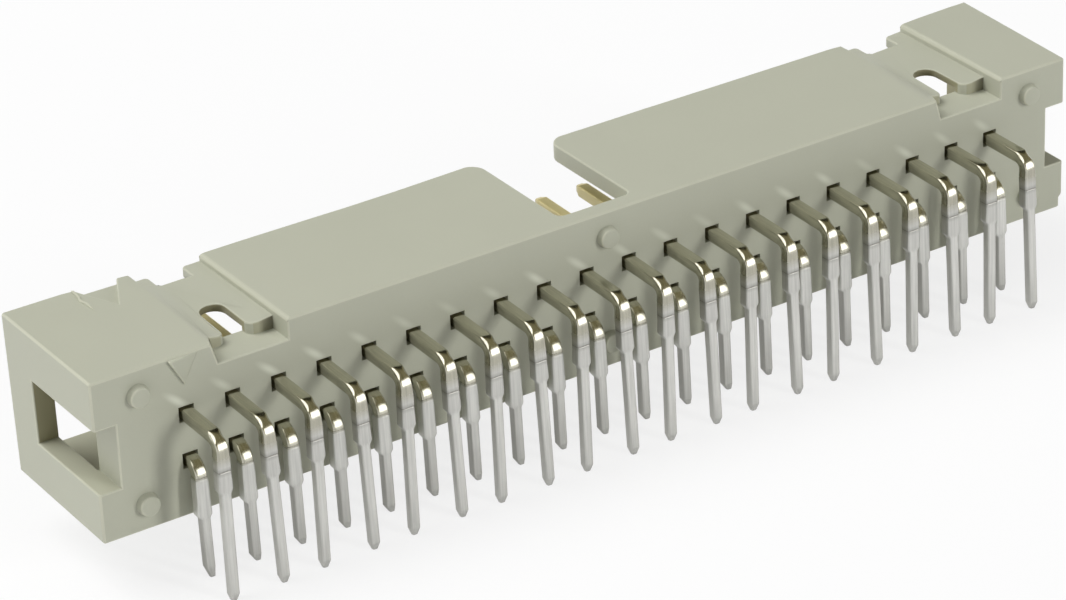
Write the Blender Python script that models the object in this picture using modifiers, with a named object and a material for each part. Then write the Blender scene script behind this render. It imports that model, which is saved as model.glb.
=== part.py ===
# Right-angle box header for a printed circuit board: a moulded housing that
# holds two rows of bent square contacts. Every size below is in millimetres.
# +X runs along the rows, the mating mouth faces -Y, the tails leave towards
# +Y and down, and z = 0 is the face that stands on the board.
import math

import bmesh
import bpy
from mathutils import Matrix

MM = 0.001
MERGE_DISTANCE = 1e-7   # in metres
PAST = 1.0              # how far a cutter runs past the face it opens

# Contact grid
PITCH = 2.54            # between neighbouring contacts of a row
COLUMNS = 20            # contacts in each row
ROW_PITCH = 2.54        # between the two rows, in the housing and on the board
ROWS_HEIGHT = 4.29      # middle of the two rows above the board

# Housing block
END_REACH = 4.97        # last contact to the end face
HOUSING_DEPTH = 8.75    # mouth to back face
HOUSING_HEIGHT = 8.78
EDGE_ROUND = 0.12
END_WALL = 1.14
BACK_WALL = 2.27
TOP_WALL = 0.95
BOTTOM_WALL = 0.9

# Window through each end wall, open at the back corner
WINDOW_SILL = 2.73      # above the board
WINDOW_HEIGHT = 3.43
WINDOW_REACH = 6.2      # forward from the back face
WINDOW_INSET = 1.2      # how far it cuts into the back wall's end

# Rebate along the foot of the plain end face
FOOT_REBATE = 0.22
FOOT_REBATE_HEIGHT = 0.8

# Latch grooves in the top, alike at both ends
GROOVE_COLUMN = 1.5     # groove centre, in columns from the end of the row
GROOVE_WIDTH = 3.95
GROOVE_DEPTH = 0.385
GROOVE_RAMP = 1.2       # width of the sloped side behind the lip
GROOVE_DIP = 0.295      # how much lower the ramp's foot lies at the pocket
GROOVE_SIDE = 0.4       # width of the ramp's steep part at the pocket
GROOVE_SIDE_DEPTH = 0.48
GROOVE_LIP = 1.2        # length of the flat lip at the mouth
LIP_STEP = 0.24         # width of the steep side along the lip
LIP_NOTCH_WIDTH = 1.9
LIP_NOTCH_ROUND = 0.25
SLOT_WIDTH = 1.3
SLOT_REACH = 4.5        # forward end of the slot from the back face
SLOT_CORNER_ROUND = 0.5
POCKET_LENGTH = 1.45    # deep pocket behind the groove
POCKET_DEPTH = 1.14
POCKET_OVERRUN = 0.27   # how far the pocket runs past the ramp at the back face
POCKET_TAPER = 0.35     # sideways run of that side for each unit forward
POCKET_DRAFT = 0.28     # sideways run of that side for each unit down

# Polarising notch in the middle of the top wall
KEY_WIDTH = 4.3
KEY_DEPTH = 0.98
KEY_LAND = 1.0          # what is left between the notch and the back face
KEY_BACK_ROUND = 0.4
KEY_CORNER_ROUND = 0.95

# Marks at the first column
ARROW_WIDTH = 2.4       # sunk arrow on the top at the mouth
ARROW_LENGTH = 2.5
ARROW_DEPTH = 0.36
BACK_MARK_WIDTH = 1.6   # raised arrow on the back face
BACK_MARK_LENGTH = 1.5
BACK_MARK_PROUD = 0.28

# Round pads on the back face
PAD_REACH = 2.51        # from the last contact outwards
PAD_SPREAD = 2.97       # above and below the pads' middle height
PAD_MIDDLE = 4.43       # above the board
PAD_FOOT_DIAMETER = 1.16
PAD_FACE_DIAMETER = 1.06
PAD_PROUD = 0.42
PAD_SIDES = 24

# Contact holes through the back wall
LEAD_IN = 0.83          # square mouth of each hole at the back face
LEAD_IN_DEPTH = 0.9
BORE_CLEARANCE = 0.04   # on each side of the wire

# Contacts
WIRE = 0.64             # square section
MATING_SETBACK = 0.45   # mating tip behind the mouth
MATING_TIP_SIZE = 0.44
MATING_TIP_LENGTH = 0.35
BEND_OUTER = 0.95       # outer radius of the bend
BEND_STEPS = 5
FORMED_WIDTH = 0.74     # the leg is wider below the bend
LEG_LEAN = 2.2          # degrees, the legs lean away from the housing
SHOULDER_DROP = 2.58    # from the row's height down to the shoulder
SHOULDER_RUN = 0.28
TAIL = 0.5              # square solder tail
TAIL_REACH = 3.05       # below the board face
TAIL_TIP_SIZE = 0.3
TAIL_TIP_LENGTH = 0.35
BOARD_ROW = 0.89        # nearer tail row behind the back face, at the board
TAIL_SPLAY = 0.13       # sideways at the tips of the farther row, by turns

# Worked out from the sizes above
ROW_LENGTH = (COLUMNS - 1) * PITCH
HALF_LENGTH = ROW_LENGTH / 2 + END_REACH
MOUTH = -HOUSING_DEPTH / 2
BACK = HOUSING_DEPTH / 2
CEILING = HOUSING_HEIGHT - TOP_WALL
UPPER_ROW = ROWS_HEIGHT + ROW_PITCH / 2
LOWER_ROW = ROWS_HEIGHT - ROW_PITCH / 2
LEG_LEAN_RUN = math.tan(math.radians(LEG_LEAN))


def column_x(column):
    """X of a column, counted from the marked end at +X."""
    return ROW_LENGTH / 2 - column * PITCH


def clear_scene():
    for item in list(bpy.data.objects):
        bpy.data.objects.remove(item, do_unlink=True)


def new_collection(name):
    collection = bpy.data.collections.new(name)
    bpy.context.scene.collection.children.link(collection)
    return collection


def new_object(name, mesh, collection):
    item = bpy.data.objects.new(name, mesh)
    collection.objects.link(item)
    return item


def mesh_from_bmesh(name, work):
    bmesh.ops.recalc_face_normals(work, faces=work.faces)
    mesh = bpy.data.meshes.new(name)
    work.to_mesh(mesh)
    work.free()
    return mesh


def principled(name, color, roughness, metallic):
    material = bpy.data.materials.new(name)
    material.use_nodes = True
    shader = material.node_tree.nodes["Principled BSDF"]
    shader.inputs["Base Color"].default_value = (*color, 1.0)
    shader.inputs["Roughness"].default_value = roughness
    shader.inputs["Metallic"].default_value = metallic
    return material


def add_box(work, low, high):
    """Add a box between two corners to a bmesh."""
    middle = [(a + b) / 2 * MM for a, b in zip(low, high)]
    size = [(b - a) * MM for a, b in zip(low, high)]
    matrix = Matrix.Translation(middle) @ Matrix.Diagonal((*size, 1.0))
    bmesh.ops.create_cube(work, size=1.0, matrix=matrix)


def box(name, low, high, collection):
    work = bmesh.new()
    add_box(work, low, high)
    return new_object(name, mesh_from_bmesh(name, work), collection)


def arc(center, radius, start, end, steps=6):
    """Points on a circle from one angle to another, in degrees."""
    points = []
    for step in range(steps + 1):
        angle = math.radians(start + (end - start) * step / steps)
        points.append((center[0] + radius * math.cos(angle), center[1] + radius * math.sin(angle)))
    return points


def prism(name, outline, axis, low, high, collection):
    """A flat outline as a filled 2D curve, extruded along Z or Y from low to high."""
    curve = bpy.data.curves.new(name, "CURVE")
    curve.dimensions = "2D"
    curve.fill_mode = "BOTH"
    curve.extrude = (high - low) / 2 * MM
    spline = curve.splines.new("POLY")
    spline.points.add(len(outline) - 1)
    for point, (a, b) in zip(spline.points, outline):
        point.co = (a * MM, b * MM, 0.0, 1.0)
    spline.use_cyclic_u = True
    sketch = new_object(name + "_outline", curve, collection)
    bpy.context.view_layer.update()
    evaluated = sketch.evaluated_get(bpy.context.evaluated_depsgraph_get())
    mesh = bpy.data.meshes.new_from_object(evaluated)
    bpy.data.objects.remove(sketch, do_unlink=True)
    middle = (low + high) / 2 * MM
    if axis == "Z":
        mesh.transform(Matrix.Translation((0.0, 0.0, middle)))
    else:
        upright = Matrix(((1, 0, 0, 0), (0, 0, -1, middle), (0, 1, 0, 0), (0, 0, 0, 1)))
        mesh.transform(upright)
    work = bmesh.new()
    work.from_mesh(mesh)
    bpy.data.meshes.remove(mesh)
    bmesh.ops.remove_doubles(work, verts=work.verts, dist=MERGE_DISTANCE)
    return new_object(name, mesh_from_bmesh(name, work), collection)


def combine(target, tool, operation):
    modifier = target.modifiers.new(tool.name, "BOOLEAN")
    modifier.operation = operation
    modifier.solver = "EXACT"
    modifier.object = tool
    tool.hide_render = True
    tool.display_type = "WIRE"


def housing_block(parts):
    """The outer block with its small edge rounds."""
    block = box("housing", (-HALF_LENGTH, MOUTH, 0), (HALF_LENGTH, BACK, HOUSING_HEIGHT), parts)
    rounds = block.modifiers.new("edge_rounds", "BEVEL")
    rounds.width = EDGE_ROUND * MM
    rounds.segments = 2
    return block


def cavity_cutter(tools):
    low = (-HALF_LENGTH + END_WALL, MOUTH - PAST, BOTTOM_WALL)
    high = (HALF_LENGTH - END_WALL, BACK - BACK_WALL, CEILING)
    return box("cavity", low, high, tools)


def window_cutter(tools, label, side):
    outer = side * (HALF_LENGTH + PAST)
    inner = side * (HALF_LENGTH - WINDOW_INSET)
    low = (min(outer, inner), BACK - WINDOW_REACH, WINDOW_SILL)
    high = (max(outer, inner), BACK + PAST, WINDOW_SILL + WINDOW_HEIGHT)
    return box("window_" + label, low, high, tools)


def rebate_cutter(tools):
    """The rebate along the foot of the plain end, sloped at its top."""
    outer = -HALF_LENGTH - PAST
    inner = -HALF_LENGTH + FOOT_REBATE
    outline = [(outer, -PAST), (inner, -PAST), (inner, FOOT_REBATE_HEIGHT - FOOT_REBATE),
               (inner - FOOT_REBATE - PAST, FOOT_REBATE_HEIGHT + PAST)]
    return prism("foot_rebate", outline, "Y", MOUTH - PAST, BACK + PAST, tools)


def loft_along_y(name, sections, collection):
    """A body through outlines of XZ points, each at its own Y."""
    work = bmesh.new()
    rings = []
    for y, outline in sections:
        rings.append([work.verts.new((x * MM, y * MM, z * MM)) for x, z in outline])
    for first, second in zip(rings, rings[1:]):
        for corner in range(len(first)):
            following = (corner + 1) % len(first)
            work.faces.new((first[corner], first[following], second[following], second[corner]))
    work.faces.new(rings[0])
    work.faces.new(rings[-1])
    return new_object(name, mesh_from_bmesh(name, work), collection)


def groove_cutters(tools, label, column):
    """One latch groove: sloped floor, flat lip with its notch, slot and deep pocket."""
    middle = column_x(column)
    plus = middle + GROOVE_WIDTH / 2
    minus = middle - GROOVE_WIDTH / 2
    floor = HOUSING_HEIGHT - GROOVE_DEPTH
    over = HOUSING_HEIGHT + PAST
    lip_end = MOUTH + GROOVE_LIP
    pocket_front = BACK - POCKET_LENGTH
    pocket_middle = pocket_front + POCKET_LENGTH / 2

    foot = plus - GROOVE_RAMP
    knee = plus - GROOVE_SIDE
    knee_height = HOUSING_HEIGHT - GROOVE_DEPTH * GROOVE_SIDE / GROOVE_RAMP
    plain = [(minus, over), (minus, floor), (foot, floor), (knee, knee_height), (plus, HOUSING_HEIGHT), (plus, over)]
    dipped = [(minus, over), (minus, floor), (foot, floor - GROOVE_DIP),
              (knee, HOUSING_HEIGHT - GROOVE_SIDE_DEPTH), (plus, HOUSING_HEIGHT), (plus, over)]
    sections = [(MOUTH - PAST, plain), (lip_end, plain), (pocket_middle, dipped)]
    flat = [(minus, over), (minus, floor), (plus - LIP_STEP, floor), (plus, HOUSING_HEIGHT), (plus, over)]
    cutters = [loft_along_y("groove_" + label, sections, tools),
               prism("lip_" + label, flat, "Y", MOUTH - PAST, lip_end, tools)]

    half = LIP_NOTCH_WIDTH / 2
    r = LIP_NOTCH_ROUND
    notch = [(middle + half + r, MOUTH - PAST)]
    notch += arc((middle + half + r, MOUTH + r), r, 270, 180)
    notch += [(middle + half, lip_end), (middle - half, lip_end)]
    notch += arc((middle - half - r, MOUTH + r), r, 0, -90)
    notch += [(middle - half - r, MOUTH - PAST)]
    cutters.append(prism("lip_notch_" + label, notch, "Z", CEILING - TOP_WALL, over, tools))

    # The pocket's side at the ramp leans, and is in place at the top face.
    low = HOUSING_HEIGHT - POCKET_DEPTH
    front_x = plus + POCKET_OVERRUN - POCKET_TAPER * POCKET_LENGTH
    past_x = plus + POCKET_OVERRUN + POCKET_TAPER * PAST
    pocket = [(minus, BACK + PAST), (minus, pocket_front), (front_x, pocket_front), (past_x, BACK + PAST)]
    leaning = prism("pocket_" + label, pocket, "Z", low, over, tools)
    for vertex in leaning.data.vertices:
        if vertex.co.x > middle * MM:
            vertex.co.x += (vertex.co.z - HOUSING_HEIGHT * MM) * POCKET_DRAFT
    cutters.append(leaning)

    half = SLOT_WIDTH / 2
    r = SLOT_CORNER_ROUND
    slot = [(middle - half - r, pocket_middle)]
    slot += arc((middle - half - r, pocket_front - r), r, 90, 0)
    slot += arc((middle, BACK - SLOT_REACH + half), half, 180, 360, 12)
    slot += arc((middle + half + r, pocket_front - r), r, 180, 90)
    slot += [(middle + half + r, pocket_middle)]
    cutters.append(prism("slot_" + label, slot, "Z", low, over, tools))
    return cutters


def key_cutter(tools):
    """The polarising notch, open at the mouth, with all its corners rounded."""
    half = KEY_WIDTH / 2
    r = KEY_CORNER_ROUND
    outline = [(half + r, MOUTH - PAST)]
    outline += arc((half + r, MOUTH + r), r, 270, 180)
    inner = KEY_BACK_ROUND
    back = BACK - KEY_LAND
    outline += arc((half - inner, back - inner), inner, 0, 90)
    outline += arc((inner - half, back - inner), inner, 90, 180)
    outline += arc((-half - r, MOUTH + r), r, 0, -90)
    outline += [(-half - r, MOUTH - PAST)]
    return prism("key_notch", outline, "Z", HOUSING_HEIGHT - KEY_DEPTH, HOUSING_HEIGHT + PAST, tools)


def arrow_cutter(tools):
    """The sunk arrow at the mouth over the first column."""
    x = column_x(0)
    half = ARROW_WIDTH / 2
    outline = [(x - half, MOUTH - PAST), (x + half, MOUTH - PAST), (x + half, MOUTH),
               (x, MOUTH + ARROW_LENGTH), (x - half, MOUTH)]
    low = HOUSING_HEIGHT - ARROW_DEPTH
    return prism("arrow", outline, "Z", low, HOUSING_HEIGHT + PAST, tools)


def hole_cutter(tools, name, size, front, back):
    """One square hole for every contact, between two depths."""
    work = bmesh.new()
    half = size / 2
    for column in range(COLUMNS):
        x = column_x(column)
        for z in (LOWER_ROW, UPPER_ROW):
            add_box(work, (x - half, front, z - half), (x + half, back, z + half))
    return new_object(name, mesh_from_bmesh(name, work), tools)


def pads(tools):
    """The tapered round pads, sunk a little into the back face that they stand on."""
    work = bmesh.new()
    sunk = PAD_PROUD
    slope = (PAD_FOOT_DIAMETER - PAD_FACE_DIAMETER) / 2 / PAD_PROUD
    foot_radius = PAD_FOOT_DIAMETER / 2 + slope * sunk
    # The cone's wide end faces the housing, which is -Y.
    turn = Matrix.Rotation(math.radians(-90), 4, "X")
    for x in (-ROW_LENGTH / 2 - PAD_REACH, 0.0, ROW_LENGTH / 2 + PAD_REACH):
        for z in (PAD_MIDDLE - PAD_SPREAD, PAD_MIDDLE + PAD_SPREAD):
            place = Matrix.Translation((x * MM, BACK * MM, z * MM))
            bmesh.ops.create_cone(work, cap_ends=True, segments=PAD_SIDES, radius1=foot_radius * MM,
                                  radius2=PAD_FACE_DIAMETER / 2 * MM, depth=(PAD_PROUD + sunk) * MM,
                                  matrix=place @ turn)
    return new_object("pads", mesh_from_bmesh("pads", work), tools)


def back_mark(tools):
    """The raised arrow that points down from the back face's top edge."""
    x = column_x(0)
    half = BACK_MARK_WIDTH / 2
    top = HOUSING_HEIGHT - EDGE_ROUND
    outline = [(x - half, top), (x + half, top), (x, top - BACK_MARK_LENGTH)]
    return prism("back_mark", outline, "Y", BACK - BACK_MARK_PROUD, BACK + BACK_MARK_PROUD, tools)


def make_housing(parts, tools):
    housing = housing_block(parts)
    for tool in (pads(tools), back_mark(tools)):
        combine(housing, tool, "UNION")
    bore = WIRE + 2 * BORE_CLEARANCE
    cutters = [cavity_cutter(tools)]
    cutters += [window_cutter(tools, "marked", 1), window_cutter(tools, "plain", -1)]
    cutters.append(rebate_cutter(tools))
    cutters += groove_cutters(tools, "marked", GROOVE_COLUMN)
    cutters += groove_cutters(tools, "plain", COLUMNS - GROOVE_COLUMN)
    cutters += [key_cutter(tools), arrow_cutter(tools)]
    cutters.append(hole_cutter(tools, "bores", bore, BACK - BACK_WALL - PAST, BACK + PAST))
    cutters.append(hole_cutter(tools, "lead_ins", LEAD_IN, BACK - LEAD_IN_DEPTH, BACK + PAST))
    for cutter in cutters:
        combine(housing, cutter, "DIFFERENCE")
    housing.data.materials.append(principled("housing_plastic", (0.46, 0.47, 0.40), 0.45, 0.0))
    return housing


def bend_sections(corner_y, row_height):
    """Square sections round the bend, from the bar's direction to the leg's."""
    turn = math.radians(90 - LEG_LEAN)
    radius = BEND_OUTER - WIRE / 2
    start_y = corner_y - radius * math.tan(turn / 2)
    sections = []
    for step in range(BEND_STEPS + 1):
        share = step / BEND_STEPS
        angle = turn * share
        y = start_y + radius * math.sin(angle)
        z = row_height - radius + radius * math.cos(angle)
        width = WIRE + (FORMED_WIDTH - WIRE) * share
        sections.append((y, z, angle, width, WIRE))
    return sections


def contact_sections(row_height, board_row):
    """Sections (y, z, angle, width, thickness) from the mating tip to the solder tip."""
    tail_at_board = BACK + board_row
    # The tail's back face is flush with the leg's, so the leg's axis lies nearer the housing.
    leg_at_board = tail_at_board - (WIRE - TAIL) / 2
    turn = math.radians(90 - LEG_LEAN)
    tip_y = MOUTH + MATING_SETBACK
    sections = [(tip_y, row_height, 0.0, MATING_TIP_SIZE, MATING_TIP_SIZE),
                (tip_y + MATING_TIP_LENGTH, row_height, 0.0, WIRE, WIRE)]
    sections += bend_sections(leg_at_board - row_height * LEG_LEAN_RUN, row_height)
    shoulder = row_height - SHOULDER_DROP
    tail_start = shoulder - SHOULDER_RUN
    tip_start = TAIL_TIP_LENGTH - TAIL_REACH
    sections.append((leg_at_board - shoulder * LEG_LEAN_RUN, shoulder, turn, FORMED_WIDTH, WIRE))
    for z, size in ((tail_start, TAIL), (tip_start, TAIL), (-TAIL_REACH, TAIL_TIP_SIZE)):
        sections.append((tail_at_board - z * LEG_LEAN_RUN, z, turn, size, size))
    return sections


def contact_mesh(name, row_height, board_row, splay):
    """A loft through the contact's unlike square sections. The leg drifts sideways by splay."""
    sections = contact_sections(row_height, board_row)
    leg_top = row_height - BEND_OUTER
    work = bmesh.new()
    rings = []
    for y, z, angle, width, thickness in sections:
        drift = splay * max(0.0, (leg_top - z) / (leg_top + TAIL_REACH))
        ring = []
        for across, out in ((1, 1), (-1, 1), (-1, -1), (1, -1)):
            x = drift + across * width / 2
            lift = out * thickness / 2
            point = (x, y + lift * math.sin(angle), z + lift * math.cos(angle))
            ring.append(work.verts.new([value * MM for value in point]))
        rings.append(ring)
    for first, second in zip(rings, rings[1:]):
        for corner in range(4):
            following = (corner + 1) % 4
            work.faces.new((first[corner], first[following], second[following], second[corner]))
    work.faces.new(rings[0])
    work.faces.new(rings[-1])
    return mesh_from_bmesh(name, work)


def make_contacts(parts):
    """The upper row feeds the farther tail row, whose tips splay by turns. The lower row is straight."""
    plated = principled("contact_metal", (0.72, 0.70, 0.66), 0.25, 1.0)
    outer_row = BOARD_ROW + ROW_PITCH
    upper = [contact_mesh("contact_upper_even", UPPER_ROW, outer_row, TAIL_SPLAY),
             contact_mesh("contact_upper_odd", UPPER_ROW, outer_row, -TAIL_SPLAY)]
    lower = contact_mesh("contact_lower", LOWER_ROW, BOARD_ROW, 0.0)
    for mesh in (*upper, lower):
        mesh.materials.append(plated)
    for column in range(COLUMNS):
        number = f"{column + 1:02d}"
        for item in (new_object("contact_upper_" + number, upper[column % 2], parts),
                     new_object("contact_lower_" + number, lower, parts)):
            item.location.x = column_x(column) * MM


def main():
    clear_scene()
    parts = new_collection("box_header")
    tools = new_collection("cutters")
    make_housing(parts, tools)
    make_contacts(parts)


main()
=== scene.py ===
import math

import bmesh
import bpy
import numpy as np
from mathutils import Matrix, Vector


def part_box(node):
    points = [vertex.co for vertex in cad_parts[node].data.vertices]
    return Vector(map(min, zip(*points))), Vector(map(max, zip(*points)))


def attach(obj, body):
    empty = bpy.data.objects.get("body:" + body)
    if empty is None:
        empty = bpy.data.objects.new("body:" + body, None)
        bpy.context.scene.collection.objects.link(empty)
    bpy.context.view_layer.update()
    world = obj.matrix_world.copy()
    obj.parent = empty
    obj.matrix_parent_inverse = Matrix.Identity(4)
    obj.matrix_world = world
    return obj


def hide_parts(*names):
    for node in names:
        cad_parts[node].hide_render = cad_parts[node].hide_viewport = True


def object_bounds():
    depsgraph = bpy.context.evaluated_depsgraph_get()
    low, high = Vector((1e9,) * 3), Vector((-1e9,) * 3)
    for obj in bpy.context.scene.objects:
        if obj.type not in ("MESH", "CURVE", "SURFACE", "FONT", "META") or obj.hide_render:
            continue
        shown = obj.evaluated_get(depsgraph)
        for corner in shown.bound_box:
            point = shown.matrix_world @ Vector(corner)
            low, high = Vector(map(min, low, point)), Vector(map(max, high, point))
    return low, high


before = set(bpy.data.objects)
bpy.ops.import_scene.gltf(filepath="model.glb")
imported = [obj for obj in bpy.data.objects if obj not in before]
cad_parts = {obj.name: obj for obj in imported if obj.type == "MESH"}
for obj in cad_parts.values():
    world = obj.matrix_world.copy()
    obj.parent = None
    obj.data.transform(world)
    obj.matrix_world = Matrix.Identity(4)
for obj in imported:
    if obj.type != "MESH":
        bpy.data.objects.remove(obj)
cadLow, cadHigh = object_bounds()
mm = 0.001


def addNode(tree, kind, place, settings=None, inputs=None):
    node = tree.nodes.new(kind)
    node.location = place
    for key, value in (settings or {}).items():
        setattr(node, key, value)
    for key, value in (inputs or {}).items():
        node.inputs[key].default_value = value
    return node


def addGroup(name, inputs, outputs):
    tree = bpy.data.node_groups.new(name, "ShaderNodeTree")
    for label, kind, value in inputs:
        socket = tree.interface.new_socket(name=label, in_out="INPUT", socket_type=kind)
        socket.default_value = value
    for label, kind in outputs:
        tree.interface.new_socket(name=label, in_out="OUTPUT", socket_type=kind)
    start = addNode(tree, "NodeGroupInput", (-900, 0))
    end = addNode(tree, "NodeGroupOutput", (700, 0))
    return tree, start, end


def placeGroup(tree, group, place, inputs=None):
    return addNode(tree, "ShaderNodeGroup", place, {"node_tree": group}, inputs)


# Each row is (node, its output, next node, its input).
def joinSockets(tree, rows):
    for source, output, target, entry in rows:
        tree.links.new(source.outputs[output], target.inputs[entry])


def newMaterial(name):
    material = bpy.data.materials.new(name)
    material.use_nodes = True
    return material, material.node_tree, material.node_tree.nodes["Principled BSDF"]


def smoothStep(value, start, end):
    share = np.clip((value - start) / (end - start), 0.0, 1.0)
    return share * share * (3.0 - 2.0 * share)


# Fine grain and slow clouds over any surface, stretched along one axis for drawn metal.
def makeGrainField():
    tree, start, end = addGroup(
        "grainField",
        [("Position", "NodeSocketVector", (0, 0, 0)), ("Stretch", "NodeSocketVector", (1, 1, 1)),
         ("Grain Scale", "NodeSocketFloat", 4000.0), ("Cloud Scale", "NodeSocketFloat", 200.0)],
        [("Grain", "NodeSocketFloat"), ("Cloud", "NodeSocketFloat")])
    stretched = addNode(tree, "ShaderNodeVectorMath", (-650, 60), {"operation": "MULTIPLY"})
    grain = addNode(tree, "ShaderNodeTexNoise", (-300, 160), None, {"Detail": 3.0, "Roughness": 0.55})
    cloud = addNode(tree, "ShaderNodeTexNoise", (-300, -160), None, {"Detail": 2.0, "Roughness": 0.5})
    joinSockets(tree, [
        (start, "Position", stretched, 0), (start, "Stretch", stretched, 1),
        (stretched, "Vector", grain, "Vector"), (start, "Position", cloud, "Vector"),
        (start, "Grain Scale", grain, "Scale"), (start, "Cloud Scale", cloud, "Scale"),
        (grain, "Fac", end, "Grain"), (cloud, "Fac", end, "Cloud")])
    return tree


# A colour that a mask pulls towards a second colour, then lightened and darkened a little by a noise.
def makeToneShift():
    tree, start, end = addGroup(
        "toneShift",
        [("Base", "NodeSocketColor", (0.5, 0.5, 0.5, 1)), ("Second", "NodeSocketColor", (0.5, 0.5, 0.5, 1)),
         ("Mask", "NodeSocketFloat", 0.0), ("Noise", "NodeSocketFloat", 0.5),
         ("Swing", "NodeSocketFloat", 0.05)],
        [("Color", "NodeSocketColor")])
    mix = addNode(tree, "ShaderNodeMix", (-500, 100), {"data_type": "RGBA"})
    centred = addNode(tree, "ShaderNodeMath", (-650, -200), {"operation": "SUBTRACT"}, {1: 0.5})
    swing = addNode(tree, "ShaderNodeMath", (-450, -200), {"operation": "MULTIPLY_ADD"}, {2: 1.0})
    lit = addNode(tree, "ShaderNodeVectorMath", (-150, 0), {"operation": "SCALE"})
    joinSockets(tree, [
        (start, "Mask", mix, "Factor"), (start, "Base", mix, 6), (start, "Second", mix, 7),
        (start, "Noise", centred, 0), (centred, "Value", swing, 0), (start, "Swing", swing, 1),
        (mix, 2, lit, 0), (swing, "Value", lit, "Scale"), (lit, "Vector", end, "Color")])
    return tree


# Light patches that the bright bends throw on the back face, one for every column of contacts
glintShape = {                 # metres
    "wide": 0.00036,
    "tall": 0.00062,
    "lean": -1.7,
    "faded": 1.3,              # the distance from the middle, in patch sizes, where it ends
    "rowMiddle": 0.0005,       # of the patches, and how far they reach to either side of it
    "rowReach": 0.0253,
}


# The patch is 1 - smoothstep of the distance from its middle, in patch sizes.
def makeBackGlints(shape):
    tree, start, end = addGroup(
        "backGlints",
        [("Position", "NodeSocketVector", (0, 0, 0)), ("Pitch", "NodeSocketFloat", 0.00254),
         ("Shift", "NodeSocketFloat", 0.0), ("Height", "NodeSocketFloat", 0.006),
         ("Reach", "NodeSocketFloat", shape["rowReach"]), ("Face", "NodeSocketFloat", 0.004)],
        [("Mask", "NodeSocketFloat")])
    split = addNode(tree, "ShaderNodeSeparateXYZ", (-900, -200))
    shifted = addNode(tree, "ShaderNodeMath", (-700, 200), {"operation": "SUBTRACT"})
    column = addNode(tree, "ShaderNodeMath", (-500, 200), {"operation": "WRAP"}, {1: 0.0})
    centred = addNode(tree, "ShaderNodeMath", (-300, 200), {"operation": "MULTIPLY_ADD"}, {1: 1.0})
    halfPitch = addNode(tree, "ShaderNodeMath", (-500, 400), {"operation": "MULTIPLY"}, {1: -0.5})
    wide = addNode(tree, "ShaderNodeMath", (-100, 200), {"operation": "DIVIDE"}, {1: shape["wide"]})
    above = addNode(tree, "ShaderNodeMath", (-700, 0), {"operation": "SUBTRACT"})
    tall = addNode(tree, "ShaderNodeMath", (-500, 0), {"operation": "DIVIDE"}, {1: shape["tall"]})
    lean = addNode(tree, "ShaderNodeMath", (-100, 0), {"operation": "MULTIPLY_ADD"}, {1: shape["lean"]})
    offset = addNode(tree, "ShaderNodeCombineXYZ", (50, 100))
    away = addNode(tree, "ShaderNodeVectorMath", (200, 100), {"operation": "LENGTH"})
    patch = addNode(tree, "ShaderNodeMapRange", (350, 100), {"interpolation_type": "SMOOTHSTEP"},
                    {"From Min": shape["faded"], "From Max": 0.0})
    inRow = addNode(tree, "ShaderNodeMath", (-100, -200), {"operation": "COMPARE"}, {1: shape["rowMiddle"]})
    onFace = addNode(tree, "ShaderNodeMath", (-100, -400), {"operation": "GREATER_THAN"})
    both = addNode(tree, "ShaderNodeMath", (100, -300), {"operation": "MULTIPLY"})
    mask = addNode(tree, "ShaderNodeMath", (500, 0), {"operation": "MULTIPLY"})
    joinSockets(tree, [
        (start, "Position", split, "Vector"), (split, "X", shifted, 0), (start, "Shift", shifted, 1),
        (shifted, "Value", column, 0), (start, "Pitch", column, 2), (start, "Pitch", halfPitch, 0),
        (column, "Value", centred, 0), (halfPitch, "Value", centred, 2), (centred, "Value", wide, 0),
        (split, "Z", above, 0), (start, "Height", above, 1), (above, "Value", tall, 0),
        (tall, "Value", lean, 0), (wide, "Value", lean, 2), (lean, "Value", offset, "X"),
        (tall, "Value", offset, "Y"), (offset, "Vector", away, 0), (away, "Value", patch, "Value"),
        (split, "X", inRow, 0), (start, "Reach", inRow, 2), (split, "Y", onFace, 0),
        (start, "Face", onFace, 1), (inRow, "Value", both, 0), (onFace, "Value", both, 1),
        (patch, "Result", mask, 0), (both, "Value", mask, 1), (mask, "Value", end, "Mask")])
    return tree


grainField = makeGrainField()
toneShift = makeToneShift()
backGlints = makeBackGlints(glintShape)

# Moulded plastic
plasticLook = {
    "color": (0.462, 0.470, 0.376, 1),
    # painted highlight on the rounds
    "edgeHighlightColor": (0.60, 0.60, 0.48, 1),
    # painted shade inside the cavity, the windows and the slots
    "insideShadeColor": (0.31, 0.285, 0.16, 1),
    # deeper painted shade in holes and corners
    "deepShadeColor": (0.045, 0.037, 0.014, 1),
    "glintColor": (0.80, 0.82, 0.70, 1),
    "edgeShare": 0.55,
    "insideShadeShare": 0.8,
    "glintShare": 0.68,
    "glintLeast": 0.25,
    "glintPitch": 0.00254,
    "glintSide": 0.00043,      # the patch's middle, beside the contact's middle
    "glintRise": 0.00049,      # and above its top
    "faceMargin": 0.00003,     # the patches are on what lies behind this depth of the back face
    "swing": 0.05,
    "grainScale": 9000.0,
    "cloudScale": 260.0,
    "roughnessLow": 0.40,
    "roughnessHigh": 0.50,
    "grainHeight": 0.0000035,
}


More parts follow.
